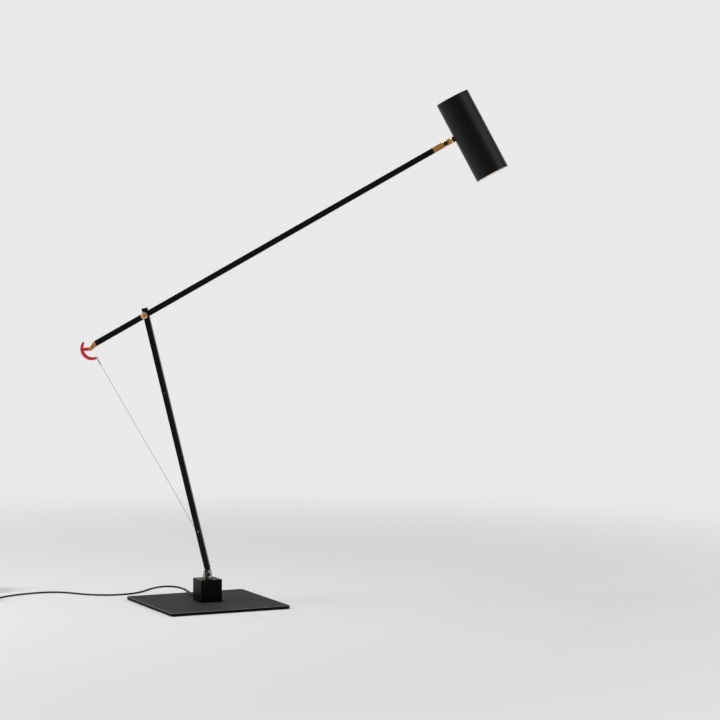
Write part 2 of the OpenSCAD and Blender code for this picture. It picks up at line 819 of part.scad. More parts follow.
module tail_fork() {
    color("#b8893a") difference() {
        union() {
            at_arm() translate([-arm_tail, 0, 0]) rotate([0, 90, 0]) linear_extrude(plug_len)
                square(plug_w, center = true);
            at_tail() intersection() {
                translate([0, bar_w / 2, 0]) rotate([90, 0, 0]) linear_extrude(bar_w) {
                    limb([[0, 0], tube_w / 2], tail_tip);
                    translate(tail_tip[0]) circle(tail_tip[1]);
                }
                rotate([0, tail_drop, 0]) translate([-2 * tail_len, -tube_w, -2 * tube_w])
                    cube([2 * tail_len, 2 * tube_w, 4 * tube_w]);
            }
        }
        at_tail() translate([-tail_len - 1, -hook_slot / 2, -tube_w])
            cube([tail_len - 4, hook_slot, 2 * tube_w]);
        at_tail() translate([-pin_reach, 0, 0]) across(pin_d + 2 * seat_gap, -tube_w, tube_w);
    }
}

module hook_pin() {
    color("#c9a24a") translate(pin_at) across(pin_d, -bar_w / 2, bar_w / 2);
}

module wire_hook() {
    color("#d80f2a") translate(pin_at) rotate([90, 0, 0]) difference() {
        translate([0, 0, -hook_t / 2]) {
            for (spot = concat([hook_eye], hook_spots))
                translate(spot[0]) cylinder(r = spot[1], h = hook_t);
            for (i = [1:hook_steps])
                linear_extrude(hook_t) limb(hook_spots[i - 1], hook_spots[i]);
            linear_extrude(hook_t) limb(hook_back, hook_eye);
        }
        translate([0, 0, -hook_t]) cylinder(d = pin_d + 2 * seat_gap, h = 2 * hook_t);
        translate([hook_toe[0][0], hook_toe[0][1], -hook_t]) cylinder(d = toe_hole, h = 2 * hook_t);
    }
}

module tension_wire() {
    straight = touch_at - wire_top;
    color("#8f9092") {
        translate(loop_at) rotate([0, -wire_turn, 0])
            rotate_extrude() translate([loop_r, 0]) circle(d = wire_d);
        rod(wire_top, wire_top + straight * (1 - 0.1 / norm(straight)), wire_d);
        rod(wire_top, wire_top + straight * (crimp_len / norm(straight)), 3 * wire_d);
    }
}

head_slot_depth = 9;

// The cheeks are turned to this diameter, which takes their long edges off
head_round = bar_w + 1.2;

module head_fork() {
    color("#c08f3c") at_arm() difference() {
        union() {
            translate([arm_head - plug_len, 0, 0]) rotate([0, 90, 0]) linear_extrude(plug_len)
                square(plug_w, center = true);
            translate([arm_head, -bar_w / 2, -bar_w / 2]) cube([head_out - cheek_run, bar_w, bar_w]);
            intersection() {
                union() {
                    translate([arm_head, -head_cheek, -bar_w / 2]) cube([head_out, 2 * head_cheek, bar_w]);
                    translate([head_reach, 0, 0]) across(bar_w, -head_cheek, head_cheek);
                }
                translate([arm_head, 0, 0]) rotate([0, 90, 0]) cylinder(d = head_round, h = head_out + bar_w);
            }
        }
        translate([head_reach - head_slot_depth, -head_tongue_t / 2 - slot_gap, -bar_w])
            cube([2 * head_slot_depth, head_tongue_t + 2 * slot_gap, 2 * bar_w]);
        translate([head_reach, 0, 0]) across(pivot_d + 2 * run_gap, -bar_w, bar_w);
    }
}

head_screw_d = pivot_d + 4;
head_screw_t = 1.4;

module head_screw() {
    color("#161617") translate(head_at) rotate([0, -arm_pitch, 0]) difference() {
        union() {
            across(pivot_d, -head_cheek - 0.5, head_cheek + nut_t);
            across(head_screw_d, -head_cheek - head_screw_t, -head_cheek);
            dome_across(head_screw_d, -head_cheek - head_screw_t, 1);
        }
        translate([0, -head_cheek - 1, 0]) rotate([90, 0, 0]) cylinder(d = 2.8, h = 3, $fn = 6);
    }
}

module head_nut() {
    color("#161617") translate(head_at) rotate([0, -arm_pitch, 0])
        nut_across(nut_w, pivot_d + 2 * run_gap, head_cheek, head_cheek + nut_t);
}

// Thumb screw through arm and stem
knob_front = -tube_w / 2 - washer_t;
knob_dome = 1.4;
knurls = 24;

module knob_washer() {
    color("#c9a24a") at_arm()
        ring_across(washer_d, bolt_d + 2 * seat_gap, knob_front, -tube_w / 2);
}

module thumb_screw() {
    color("#c9a24a") at_arm() difference() {
        union() {
            across(bolt_d, knob_front - 1, tube_w + friction_t + tube_w / 2 + washer_t + bolt_nut_t);
            across(knob_d, knob_front - knob_t, knob_front);
            dome_across(knob_d - 1.2, knob_front - knob_t, knob_dome);
        }
        for (k = [1:knurls]) rotate([0, 360 * k / knurls, 0]) translate([knob_d / 2 + 0.25, 0, 0])
            across(1, knob_front - knob_t - 1, knob_front + 1);
    }
}

// Head
tongue_end = 4.5;

module head_tongue() {
    thick = head_tongue_t;
    color("#c9a24a") at_head() difference() {
        union() {
            across(bar_w, -thick / 2, thick / 2);
            translate([0, -thick / 2, -bar_w / 2]) cube([collar_face - 3, thick, bar_w]);
            translate([collar_face - 3, 0, 0]) rotate([0, 90, 0]) cylinder(d = bar_w, h = 3 - seat_gap);
            translate([collar_face - 1, 0, 0]) rotate([0, 90, 0])
                cylinder(d = stud_d, h = collar_t + shade_wall + tongue_end + 2);
        }
        across(pivot_d + 2 * run_gap, -thick, thick);
    }
}

stud_face = shade_gap + shade_wall + 0.6;
stud_washer_t = 1;
stud_nut_t = 2.6;

module stud_washer() {
    color("#8d8b86") at_head() translate([stud_face, 0, 0]) rotate([0, 90, 0]) difference() {
        cylinder(d = stud_d + 4, h = stud_washer_t);
        translate([0, 0, -1]) cylinder(d = stud_d + 2 * seat_gap, h = stud_washer_t + 2);
    }
}

module stud_nut() {
    color("#8d8b86") at_head() translate([stud_face + stud_washer_t, 0, 0]) rotate([0, 90, 0])
        difference() {
            cylinder(d = (stud_d + 3) / cos(30), h = stud_nut_t, $fn = 6);
            translate([0, 0, -1]) cylinder(d = stud_d + 2 * run_gap, h = stud_nut_t + 2);
        }
}

module shade_tube() {
    color("#151516") at_shade() difference() {
        rotate_extrude($fn = 120) translate([0, shade_bottom]) difference() {
            square([shade_d / 2, shade_len]);
            translate([0, -1]) square([shade_in, shade_len + 2]);
        }
        translate([-shade_d, 0, 0]) rotate([0, 90, 0]) cylinder(d = stud_d + 2 * seat_gap, h = shade_d);
    }
}

module shade_collar() {
    color("#151516") difference() {
        at_head() translate([collar_face, 0, 0]) rotate([0, 90, 0])
            cylinder(d = collar_d, h = collar_t + 2);
        at_head() translate([collar_face - 1, 0, 0]) rotate([0, 90, 0])
            cylinder(d = stud_d + 2 * seat_gap, h = collar_t + 5);
        at_shade() translate([0, 0, -collar_d])
            cylinder(d = shade_d + 2 * run_gap, h = 2 * collar_d, $fn = 120);
    }
}

module shade_cap() {
    color("#1b1b1c") at_shade() difference() {
        translate([0, 0, cap_under]) cylinder(r = cap_r, h = cap_t, $fn = 120);
        translate([0, 0, cap_under - 1]) cylinder(d = button_d + 4 * seat_gap, h = cap_t + 2);
        at_posts() {
            translate([0, 0, cap_under - 1]) cylinder(d = 3 + 2 * seat_gap, h = cap_t + 2);
            translate([0, 0, cap_top - 1.5]) cylinder(d1 = 3 + 2 * seat_gap, d2 = 6, h = 1.51);
        }
    }
}

module cap_screws() {
    color("#3a3a3c") at_shade() at_posts() difference() {
        union() {
            translate([0, 0, cap_top - 1.5]) cylinder(d1 = 3, d2 = 5.8, h = 1.45);
            translate([0, 0, cap_under - 6]) cylinder(d = 3, h = cap_t + 5);
        }
        translate([0, 0, cap_top - 1.3]) cylinder(d = 2, h = 3, $fn = 6);
    }
}

flange_d = button_d + 2;
flange_t = 1.5;
button_under = cap_under - flange_t;
well_h = flange_t + button_travel + 0.5;

module push_button() {
    color("#3a3a3c") at_shade() {
        translate([0, 0, button_under]) cylinder(d = flange_d, h = flange_t);
        translate([0, 0, cap_under - 0.5]) cylinder(d = button_d, h = cap_t + button_rise + 0.5);
        translate([0, 0, button_under - 3]) cylinder(d = 4, h = 4);
    }
}

module switch_body() {
    color("#2f3033") at_shade() difference() {
        translate([0, 0, cap_under - switch_h]) cylinder(d = switch_d, h = switch_h);
        translate([0, 0, cap_under - well_h]) cylinder(d = flange_d + 4 * seat_gap, h = well_h + 1);
        translate([0, 0, cap_under - switch_h + 2]) cylinder(d = 4 + 4 * seat_gap, h = switch_h);
    }
}

module module_posts() {
    color("#8d8b86") at_shade() at_posts() difference() {
        translate([0, 0, sink_top]) cylinder(d = post_d, h = post_top - sink_top);
        translate([0, 0, post_top - 8]) cylinder(d = 3 + 2 * seat_gap, h = 9);
    }
}

module heat_sink() {
    color("#8b8d90") at_shade() {
        translate([0, 0, sink_under]) cylinder(r = liner_r, h = sink_t, $fn = 96);
        translate([0, 0, sink_top - 0.5]) cylinder(r = fin_r / 2, h = fin_count * fin_pitch + 0.5);
        for (k = [1:fin_count])
            translate([0, 0, sink_top + k * fin_pitch - fin_t]) cylinder(r = fin_r, h = fin_t);
    }
}

module lamp_board() {
    color("white") at_shade() {
        translate([0, 0, board_under]) cylinder(d = board_d, h = board_t);
        translate([0, 0, board_under - 0.8]) cylinder(d = board_d * 0.4, h = 1);
    }
}

module shade_liner() {
    color("white") at_shade() rotate_extrude($fn = 120) difference() {
        translate([0, shade_bottom + 0.5]) square([liner_r, sink_under - shade_bottom - 0.5]);
        translate([0, shade_bottom - 1]) square([liner_in, lens_top - shade_bottom + 1]);
        translate([0, shade_bottom - 1]) square([lip_r, shade_len]);
    }
}

module lens() {
    color("#fff4d8") at_shade() translate([0, 0, lens_under])
        cylinder(r = liner_in - seat_gap, h = lens_t, $fn = 96);
}

module lens_ring() {
    color("white") at_shade() translate([0, 0, lens_under - 1]) difference() {
        cylinder(r = liner_in - seat_gap, h = 1, $fn = 96);
        translate([0, 0, -1]) cylinder(r = liner_in - 1.4, h = 3, $fn = 96);
    }
}

// Cord and its plug-in supply
module cord() {
    color("#141414") swept(cord_path, cord_d, 8);
}

module cord_coil() {
    color("#141414") swept(coil_path, cord_d, 6);
}

pin_gap = 19;
pin_len = 19;
supply_from = supply_at[1] + supply_relief_len;

module supply_relief() {
    color("#141414") translate([supply_at[0], supply_at[1], table_z]) rotate([-90, 0, 0])
        cylinder(d = cord_d, h = supply_relief_len);
}

module supply_housing() {
    color("#1d1d1f") translate([supply_at[0], supply_from + supply_len / 2, 0])
        linear_extrude(supply_h) rounded(supply_w, supply_len, 4);
}

module supply_pins() {
    color("#b9b6ae") for (x = [-1, 1])
        translate([supply_at[0] + x * pin_gap / 2, supply_from + supply_len, supply_h / 2])
            across(4, 0, pin_len);
}

felt_pad();
base_plate();
base_block();
block_screws();
swivel_bush();
terminal_block();
terminal_screws();
spindle_lead();
cord_gland();
gland_nut();
cord_relief();
foot_fork();
swivel_washer();
swivel_nut();
foot_screw();
foot_nut();
stem_foot();
stem_tube();
stem_cap();
stem_sleeve();
wire_guide();
wire_tail();
balance_spring();
spring_anchor();
stem_lead();
friction_washer();
bolt_washer();
bolt_nut();
arm_tube();
arm_sleeve();
arm_lead();
tail_fork();
hook_pin();
wire_hook();
tension_wire();
head_fork();
head_screw();
head_nut();
knob_washer();
thumb_screw();
head_tongue();
stud_washer();
stud_nut();
shade_tube();
shade_collar();
shade_cap();
cap_screws();
switch_body();
module_posts();
heat_sink();
lamp_board();
shade_liner();
lens();
lens_ring();
push_button();
cord();
cord_coil();
supply_relief();
supply_housing();
supply_pins();
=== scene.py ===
# Desk lamp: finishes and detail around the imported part, in metres and on the part's own axes
import json
import math

import bmesh
import bpy
from mathutils import Matrix, Vector


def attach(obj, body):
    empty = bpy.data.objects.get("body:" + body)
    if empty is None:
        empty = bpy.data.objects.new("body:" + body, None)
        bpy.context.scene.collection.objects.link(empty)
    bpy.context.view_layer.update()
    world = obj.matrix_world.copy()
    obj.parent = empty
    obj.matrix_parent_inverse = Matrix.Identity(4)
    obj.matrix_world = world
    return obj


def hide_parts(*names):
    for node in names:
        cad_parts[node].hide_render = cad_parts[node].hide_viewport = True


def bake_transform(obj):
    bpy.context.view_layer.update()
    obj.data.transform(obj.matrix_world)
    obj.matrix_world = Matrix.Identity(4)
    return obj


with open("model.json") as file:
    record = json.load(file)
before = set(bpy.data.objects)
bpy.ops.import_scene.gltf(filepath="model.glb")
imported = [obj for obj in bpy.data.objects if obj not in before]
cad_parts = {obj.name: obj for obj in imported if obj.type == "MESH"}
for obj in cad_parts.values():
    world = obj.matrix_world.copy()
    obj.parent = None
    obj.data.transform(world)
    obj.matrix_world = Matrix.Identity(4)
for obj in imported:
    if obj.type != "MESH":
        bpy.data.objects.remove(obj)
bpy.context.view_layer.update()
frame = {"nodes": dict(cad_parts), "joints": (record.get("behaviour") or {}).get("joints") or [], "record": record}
nodes = frame["nodes"]
record = frame["record"]
slotOf = {part["node"]: part["material_slot"] for part in record["subparts"]}
bodyOf = {node: body for body, names in record["behaviour"]["bodies"].items() for node in names}
jointAt = {joint["name"]: Vector(joint["pos_m"]) for joint in frame["joints"] if "pos_m" in joint}
print("part loaded:", len(nodes), "nodes")

view = {"place": (1.054, -5.552, 0.849), "heading": 8.0, "dip": 4.19, "lens": 160, "sensor": 36}
camera = bpy.data.objects.new("camera", bpy.data.cameras.new("camera"))
camera.location = view["place"]
camera.rotation_euler = (math.radians(90 - view["dip"]), 0, math.radians(view["heading"]))
camera.data.lens = view["lens"]
camera.data.sensor_width = view["sensor"]
bpy.context.scene.collection.objects.link(camera)
bpy.context.scene.camera = camera
bpy.context.scene.view_settings.view_transform = "Standard"
print("camera placed")

# How the lamp stands at rest, in degrees, and where its joints are
stance = {"base": 32.4, "stem": -13.6, "arm": -29.6, "head": -28.2}
footAt = tuple(jointAt["stem_tilt"])
armAt = tuple(jointAt["arm_tilt"])
headAt = tuple(jointAt["head_tilt"])
alongArm = 90 + stance["arm"]


class Wired:
    # a socket that takes plain maths

    def __init__(self, shading, socket):
        self.shading = shading
        self.socket = socket

    def maths(self, operation, *terms):
        return self.shading.node("ShaderNodeMath", {"operation": operation}, dict(enumerate(terms)))

    def __add__(self, other):
        return self.maths("ADD", self, other)

    def __sub__(self, other):
        return self.maths("SUBTRACT", self, other)

    def __rsub__(self, other):
        return self.maths("SUBTRACT", other, self)

    def __mul__(self, other):
        return self.maths("MULTIPLY", self, other)

    def __abs__(self):
        return self.maths("ABSOLUTE", self)

    __radd__ = __add__
    __rmul__ = __mul__


class Shading:
    # a node tree that is filled one node at a time

    def __init__(self, tree):
        self.tree = tree
        tree.nodes.clear()

    def node(self, kind, settings=None, values=None, out=0):
        made = self.tree.nodes.new(kind)
        for name, setting in (settings or {}).items():
            setattr(made, name, setting)
        for socket, value in (values or {}).items():
            if isinstance(value, Wired):
                self.tree.links.new(value.socket, made.inputs[socket])
            else:
                made.inputs[socket].default_value = value
        return Wired(self, made.outputs[out]) if made.outputs else made

    def ramp(self, value, start, stop, low=0.0, high=1.0, kind="SMOOTHSTEP"):
        return self.node("ShaderNodeMapRange", {"interpolation_type": kind}, {
            "Value": value, "From Min": start, "From Max": stop, "To Min": low, "To Max": high,
        })


class Finish(Shading):
    # one material: its pattern's place on the lamp, its noises, and what they feed

    def __init__(self, name, at=(0, 0, 0), turn=(0, 0, 0)):
        self.material = bpy.data.materials.new(name)
        self.material.use_nodes = True
        super().__init__(self.material.node_tree)
        spot = self.node("ShaderNodeTexCoord", out="Object")
        turns = [math.radians(angle) for angle in turn]
        self.place = self.node("ShaderNodeMapping", {"vector_type": "TEXTURE"},
                               {"Vector": spot, "Location": at, "Rotation": turns})

    def along(self, axis):
        return self.node("ShaderNodeSeparateXYZ", None, {"Vector": self.place}, out=axis)

    def noise(self, scale, detail=2.0, stretch=(1, 1, 1)):
        place = self.node("ShaderNodeVectorMath", {"operation": "MULTIPLY"}, {0: self.place, 1: stretch})
        return self.node("ShaderNodeTexNoise", None, {"Vector": place, "Scale": scale, "Detail": detail})

    def tint(self, share, *colours):
        first, second = (colour if isinstance(colour, Wired) else (*colour, 1) for colour in colours)
        return self.node("ShaderNodeMix", {"data_type": "RGBA"}, {0: share, 6: first, 7: second}, out=2)

    def surface(self, colour, grain, roughness, swing, depth, metallic=0.0, **fixed):
        # the grain stands up by its depth, and swings the roughness to both sides
        normal = self.node("ShaderNodeBump", None, {"Height": grain, "Distance": depth, "Strength": 1.0})
        values = {"Base Color": colour, "Roughness": roughness - swing + grain * (2 * swing),
                  "Metallic": metallic, "Normal": normal}
        values.update({name.replace("_", " "): value for name, value in fixed.items()})
        skin = self.node("ShaderNodeBsdfPrincipled", None, values)
        self.node("ShaderNodeOutputMaterial", None, {"Surface": skin})
        return self.material


# Grain of each kind of finish, per metre, and its depth in metres
grains = {
    "powder": 1400, "powderDeep": 0.00004, "plate": 700, "plateDeep": 0.00008, "clouds": 38,
    "drawn": (2600, 2600, 22), "drawnDeep": 0.00001, "smears": 30,
    "spots": 260, "brushDeep": 0.000012, "turned": (500, 500, 2400), "flecks": 60,
}


def powderCoat(name, tone, roughness, specular, **place):
    # fine pebbled coat with slow cloudy changes of tone
    finish = Finish(name, **place)
    pebbles = finish.noise(grains["powder"], 3)
    colour = finish.tint(finish.noise(grains["clouds"]) * 0.6 + pebbles * 0.4, *tone)
    return finish.surface(colour, pebbles, roughness, swing=0.08, depth=grains["powderDeep"],
                          Specular_IOR_Level=specular)


def plateCoat(name, tone, sideShade, line, highlightFrom, faceFrom, roughness, specular, **place):
    # coarse pebbled coat on the plate's top; its near-black sides are painted shade, and the lighter line round
    # the top edge is a painted highlight
    finish = Finish(name, **place)
    pebbles = finish.noise(grains["plate"], 3)
    height = finish.along("Z")
    # below the top edge the sides get painted shade, and a band just under the top a painted highlight line
    edge = finish.tint(finish.ramp(height, *highlightFrom, kind="LINEAR"), sideShade, line)
    face = finish.tint(finish.noise(grains["clouds"]) * 0.6 + pebbles * 0.4, *tone)
    colour = finish.tint(finish.ramp(height, *faceFrom, kind="LINEAR"), edge, face)
    return finish.surface(colour, pebbles, roughness, swing=0.08, depth=grains["plateDeep"],
                          Specular_IOR_Level=specular)


def anodised(name, tone, roughness, specular, rimHighlight=None, **place):
    # satin coat with a faint drawn grain along the pattern's Z, and, where it is given, a lighter band at both
    # ends along Z that is a painted highlight on the rims
    finish = Finish(name, **place)
    drawn = finish.noise(1, 3, grains["drawn"])
    colour = finish.tint(finish.noise(grains["smears"]) * 0.5 + drawn * 0.5, *tone)
    if rimHighlight:
        # both ends of the tube are painted lighter, as a painted highlight on the rims
        outward = abs(finish.along("Z") - rimHighlight["middle"])
        rimLit = finish.ramp(outward, rimHighlight["half"], rimHighlight["half"] + rimHighlight["blur"], kind="LINEAR")
        colour = finish.tint(rimLit, colour, rimHighlight["colour"])
    return finish.surface(colour, drawn, roughness, swing=0.06, depth=grains["drawnDeep"],
                          Specular_IOR_Level=specular)


def brushed(name, tone, roughness, stretch, **place):
    # bare metal with brush marks, and a film of small darker spots
    finish = Finish(name, **place)
    marks = finish.noise(1, 3, stretch)
    colour = finish.tint(finish.noise(grains["spots"], 3) * 0.7 + marks * 0.3, *tone)
    return finish.surface(colour, marks, roughness, swing=0.08, depth=grains["brushDeep"], metallic=1.0)


def turnedSteel(name, tone, reach, roughness):
    # steel painted darker towards its front and back, which lie along Y, as a painted dark reflection
    finish = Finish(name)
    marks = finish.noise(1, 3, grains["turned"])
    paintedReflection = finish.ramp(abs(finish.along("Y")), *reach)
    colour = finish.tint(paintedReflection * 0.92 + marks * 0.08, *tone)
    return finish.surface(colour, marks, roughness, swing=0.08, depth=grains["brushDeep"], metallic=1.0)


def moulded(name, tone, roughness, grain=900, depth=0.00003, **fixed):
    # plastic, rubber or enamel with a slight grain
    finish = Finish(name)
    pebbles = finish.noise(grain)
    colour = finish.tint(finish.noise(grains["flecks"]) * 0.5 + pebbles * 0.5, *tone)
    return finish.surface(colour, pebbles, roughness, swing=0.05, depth=depth, **fixed)


# Each finish varies between two tones
tones = {
    "black": ((0.0018, 0.0017, 0.0016), (0.0044, 0.0041, 0.0039)),
    "plate": ((0.032, 0.0305, 0.028), (0.051, 0.0487, 0.0445)),
    "brass": ((0.66, 0.29, 0.075), (0.86, 0.43, 0.14)),
    "brassTurned": ((0.70, 0.36, 0.12), (0.90, 0.56, 0.26)),
    # the knob's paler brass is a painted highlight, and its darker brass face painted shade
    "brassPaintedHighlight": ((0.86, 0.60, 0.34), (1.0, 0.80, 0.55)),
    "brassPaintedShade": ((0.50, 0.22, 0.05), (0.66, 0.32, 0.09)),
    "bronze": ((0.13, 0.11, 0.085), (0.20, 0.17, 0.13)),
    "steel": ((0.34, 0.33, 0.32), (0.52, 0.51, 0.49)),
    # light steel, and the painted dark reflection on the fork's front and back
    "steelAndPaintedDark": ((0.42, 0.41, 0.39), (0.014, 0.013, 0.012)),
    "darkSteel": ((0.006, 0.006, 0.006), (0.016, 0.015, 0.014)),
    "wire": ((0.28, 0.28, 0.29), (0.46, 0.46, 0.47)),
    "aluminium": ((0.52, 0.52, 0.53), (0.66, 0.66, 0.66)),
    "red": ((0.56, 0.004, 0.016), (0.70, 0.010, 0.030)),
    "blackPlastic": ((0.011, 0.011, 0.012), (0.019, 0.019, 0.020)),
    "whitePlastic": ((0.82, 0.81, 0.77), (0.88, 0.87, 0.83)),
    "opal": ((0.93, 0.88, 0.78), (0.96, 0.92, 0.83)),
    "insulation": ((0.21, 0.035, 0.028), (0.29, 0.055, 0.04)),
    "cord": ((0.009, 0.009, 0.0095), (0.016, 0.016, 0.017)),
    "felt": ((0.011, 0.011, 0.012), (0.03, 0.03, 0.031)),
}
onBase = {"turn": (0, 0, stance["base"])}
onStem = {"at": footAt, "turn": (0, stance["stem"], 0)}
onArm = {"at": armAt, "turn": (0, alongArm, 0)}
onHead = {"at": headAt, "turn": (0, stance["head"], 0)}
# the shade's lighter grey rims are a painted highlight round both ends of the tube
shadeRimHighlight = {"middle": -0.010, "half": 0.0743, "blur": 0.0001, "colour": (0.15, 0.15, 0.16)}

finishes = {
    "black_metal": powderCoat("blackCoat", tones["black"], 0.34, 0.07, **onBase),
    "black_tube": anodised("blackShade", tones["black"], 0.42, 0.2, **onHead),
    # the plate's near-black sides are painted shade and its light line round the top edge a painted highlight
    "plate": plateCoat("plateCoat", tones["plate"], sideShade=(0.003, 0.003, 0.003), line=(0.30, 0.29, 0.27),
                       highlightFrom=(0.0050, 0.0054), faceFrom=(0.0057, 0.00595), roughness=0.75, specular=0.12,
                       **onBase),
    "brass": brushed("brassTurned", tones["brassTurned"], 0.3, (900, 900, 900)),
    "bronze": brushed("bronzePlain", tones["bronze"], 0.42, (700, 700, 700)),
    "steel": brushed("steelSatin", tones["steel"], 0.24, (500, 500, 2400)),
    "dark_steel": powderCoat("steelBlackened", tones["darkSteel"], 0.4, 0.4),
    "wire": brushed("wireDrawn", tones["wire"], 0.38, (1500, 1500, 1500)),
    "aluminium": brushed("aluminiumMachined", tones["aluminium"], 0.4, (300, 300, 1800)),
    "red": moulded("redEnamel", tones["red"], 0.28, 500, 0.00001, Coat_Weight=0.4, Coat_Roughness=0.12),
    "black_plastic": moulded("plasticBlack", tones["blackPlastic"], 0.55),
    "white_plastic": moulded("plasticWhite", tones["whitePlastic"], 0.5),
    "opal": moulded("opalLit", tones["opal"], 0.45, Emission_Color=(1.0, 0.9, 0.74, 1), Emission_Strength=2.2),
    "insulation": moulded("insulationRed", tones["insulation"], 0.5),
    "cord": moulded("cordRubber", tones["cord"], 0.62, 1200, Specular_IOR_Level=0.3),
    "felt": moulded("feltBlack", tones["felt"], 0.95, 2600, 0.0002, Specular_IOR_Level=0.1),
}
stemBlack = anodised("blackStem", tones["black"], 0.3, 0.15, **onStem)
brassBar = brushed("brassBar", tones["brass"], 0.3, (1500, 1500, 60), **onArm)
ownFinish = {  # of pieces that differ from their slot
    # the fork's darker front and back are a painted dark reflection
    "footFork": turnedSteel("forkSteel", tones["steelAndPaintedDark"], (0.0072, 0.0082), 0.24),
    "stemPost": stemBlack,
    "stemLid": stemBlack,
    "armPost": anodised("blackArm", tones["black"], 0.3, 0.15, **onArm),
    "tailFork": brassBar,
    "headFork": brassBar,
    # the knob's pale rim is a painted highlight and its darker face painted shade
    "thumbKnob": brushed("brassPaintedHighlight", tones["brassPaintedHighlight"], 0.38, (900, 900, 900)),
    "thumbFace": brushed("brassPaintedShade", tones["brassPaintedShade"], 0.42, (900, 900, 900)),
    "shadeShell": anodised("blackTube", tones["black"], 0.42, 0.2, rimHighlight=shadeRimHighlight, **onHead),
}
for node, shown in nodes.items():
    shown.data.materials.clear()
    shown.data.materials.append(finishes[slotOf[node]])
print("finishes made:", len(finishes) + len(set(ownFinish.values())))


def millimetres(at, axis="Z", degrees=0.0):
    # the place of a shape drawn in millimetres: moved to a point in metres and turned about an axis there
    return Matrix.Translation(at) @ Matrix.Rotation(math.radians(degrees), 4, axis) @ Matrix.Scale(0.001, 4)


def shifted(place, x, y, z, axis="Z", degrees=0.0):
    return place @ Matrix.Translation((x, y, z)) @ Matrix.Rotation(math.radians(degrees), 4, axis)


basePlace = millimetres((0, 0, 0), "Z", stance["base"])
stemPlace = millimetres(footAt, "Y", stance["stem"])
armPlace = millimetres(armAt, "Y", stance["arm"])
quarterTurn = math.radians(90)

# Points nearer than these are one: in drawn millimetres, in metres, and in a CAD solid; then angles in degrees
joining = {"drawn": 0.0005, "metres": 0.0000005, "solid": 0.000002, "flat": 1, "sharp": 42}


def spun(bm, steps):
    # turns all that a mesh holds right round Z
    bmesh.ops.spin(bm, geom=bm.verts[:] + bm.edges[:], cent=(0, 0, 0), axis=(0, 0, 1), dvec=(0, 0, 0),
                   angle=math.tau, steps=steps, use_merge=True, use_normal_flip=False, use_duplicate=False)
    return bm


def turned(profile, steps, closed=False):
    # a shape turned about Z from points of radius and height
    bm = bmesh.new()
    points = [bm.verts.new((radius, 0, height)) for radius, height in profile]
    for pair in list(zip(points, points[1:])) + ([(points[-1], points[0])] if closed else []):
        bm.edges.new(pair)
    spun(bm, steps)
    bmesh.ops.remove_doubles(bm, verts=bm.verts, dist=joining["drawn"])
    bmesh.ops.recalc_face_normals(bm, faces=bm.faces)
    return bm


def uprights(bm):
    return [e for e in bm.edges if abs(e.verts[0].co.z - e.verts[1].co.z) > 1]


def rounded(bm, edges, width, segments):
    bmesh.ops.bevel(bm, geom=edges, offset=width, offset_type="OFFSET", affect="EDGES", segments=segments,
                    profile=0.5, material=-1, clamp_overlap=True)
    return bm


def soften(bm, width, sharper=30, segments=3):
    # rounds every edge that turns by more than an angle
    edges = [e for e in bm.edges if len(e.link_faces) == 2 and e.calc_face_angle() > math.radians(sharper)]
    return rounded(bm, edges, width, segments)


def copied(node, width, sharper=30, segments=3):
    # a copy of a node's solid, in metres, with its edges softened by a width in millimetres
    bm = bmesh.new()
    bm.from_mesh(nodes[node].data)
    bmesh.ops.remove_doubles(bm, verts=bm.verts, dist=joining["solid"])
    bmesh.ops.dissolve_limit(bm, angle_limit=math.radians(joining["flat"]), verts=bm.verts, edges=bm.edges,
                             use_dissolve_boundaries=False)
    return soften(bm, width * 0.001, sharper, segments)


def finished(name, bm, node, place=None, stands=True, rides=True):
    # makes a piece of the lamp from a shape, which is in metres already where it has no place
    bmesh.ops.remove_doubles(bm, verts=bm.verts, dist=joining["metres" if place is None else "drawn"])
    if place is not None:
        bmesh.ops.transform(bm, matrix=place, verts=bm.verts)
    bmesh.ops.recalc_face_normals(bm, faces=bm.faces)
    mesh = bpy.data.meshes.new(name)
    bm.to_mesh(mesh)
    bm.free()
    mesh.shade_smooth()
    mesh.set_sharp_from_angle(angle=math.radians(joining["sharp"]))
    mesh.materials.append(ownFinish.get(name, finishes[slotOf[node]]))
    piece = bpy.data.objects.new(name, mesh)
    bpy.context.scene.collection.objects.link(piece)
    even = piece.modifiers.new("even", "WEIGHTED_NORMAL")
    even.keep_sharp = True
    if rides:
        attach(piece, bodyOf[node])
    if stands:
        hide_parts(node)
    return piece


def dress(edges):
    # pieces that are softened copies: name, then node and edge width, then angle and segments if unusual
    for name, (node, *edge) in edges.items():
        finished(name, copied(node, *edge), node)


# Cord: the same route points as the part's source, in millimetres
cordLine = {
    "diameter": 0.003, "between": 4, "exit": (-9, 42, 11), "stub": 6,
    "points": [
        (-40, 48, 9.3), (-43, 60, 8), (-46, 73, 7.6), (-50, 86, 7.7), (-54, 99, 7.8), (-57, 111, 6.3),
        (-60, 124, 3.6), (-64, 138, 1.8), (-69, 153, 1.5), (-76, 169, 1.5), (-86, 184, 1.5),
        (-98, 195, 1.5), (-112, 198, 1.5), (-124, 191, 1.5), (-132, 177, 1.5), (-138, 159, 1.5),
        (-142, 140, 1.5), (-147, 121, 1.5), (-156, 103, 1.5), (-170, 88, 1.5), (-188, 78, 1.5),
        (-208, 74, 1.5), (-228, 75, 1.5), (-248, 81, 1.5), (-268, 90, 1.5), (-288, 96, 1.5),
        (-308, 95, 1.5), (-326, 87, 1.5), (-342, 75, 1.5), (-356, 61, 1.5), (-369, 44, 1.5),
        (-379, 27, 1.5), (-385, 10, 1.5), (-388, -2, 1.5), (-388, -11, 1.5),
    ],
}
coil = {
    "middle": (-410, -14), "outRadius": 22, "pitch": 4, "step": 3.5, "layers": 4, "turns": 2,
    "perTurn": 24, "finer": 2, "rest": 1.5, "ramp": 75, "rampSteps": 24,
    "end": [(-432, 64, 1.5), (-432, 98, 1.5)],
}


